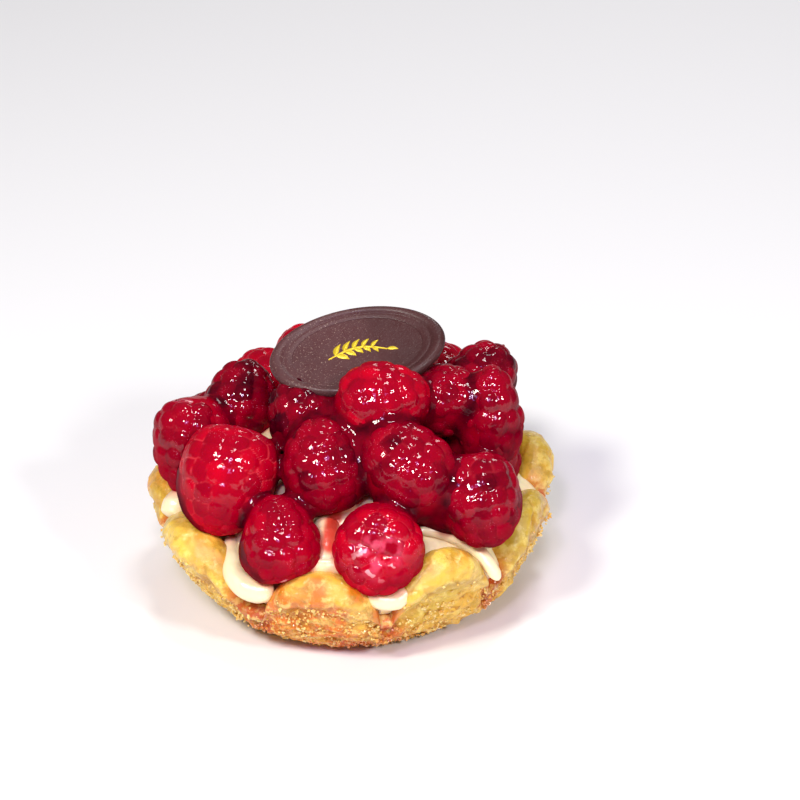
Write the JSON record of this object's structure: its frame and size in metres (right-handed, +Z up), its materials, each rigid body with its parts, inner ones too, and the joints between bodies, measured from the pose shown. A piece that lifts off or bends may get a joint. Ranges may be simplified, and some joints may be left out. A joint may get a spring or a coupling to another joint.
{
  "type": "raspberry cream tartlet",
  "caption": "Round sugared pastry tartlet with a petal-cut wall, cream filling, heaped glazed raspberries and an oval chocolate plaque.",
  "frame": {"origin": "middle of the bounding box on the table, under the foot of the pastry cup", "axes": "+Z up, -Y the front, where the plaque's face leans to, +X to the right seen from the front"},
  "size_m": [0.0884, 0.087, 0.0609],
  "materials": {
    "pastry": "baked golden shortcrust with coarse sugar",
    "cream": "smooth pale custard cream",
    "raspberry": "crimson under a clear glossy glaze",
    "chocolate": "dark satin chocolate with a gold sprig"
  },
  "bodies": {
    "root": {"pastry_cup": "pastry", "cream": "cream", "raspberry_front_middle": "raspberry", "raspberry_front_left": "raspberry", "raspberry_left_big": "raspberry", "raspberry_left_edge": "raspberry", "raspberry_left_back": "raspberry", "raspberry_middle": "raspberry", "raspberry_middle_left": "raspberry", "raspberry_middle_right": "raspberry", "raspberry_top_front": "raspberry", "raspberry_top_right": "raspberry", "raspberry_right_tall": "raspberry", "raspberry_right_front": "raspberry", "raspberry_right_back": "raspberry", "raspberry_back_right": "raspberry", "raspberry_back_mid_right": "raspberry", "raspberry_back_middle": "raspberry", "raspberry_back_mid_left": "raspberry", "raspberry_back_left": "raspberry", "raspberry_crown_back": "raspberry", "raspberry_crown_left": "raspberry", "raspberry_middle_low": "raspberry", "raspberry_right_low": "raspberry", "chocolate_plaque": "chocolate"}
  },
  "joints": []
}
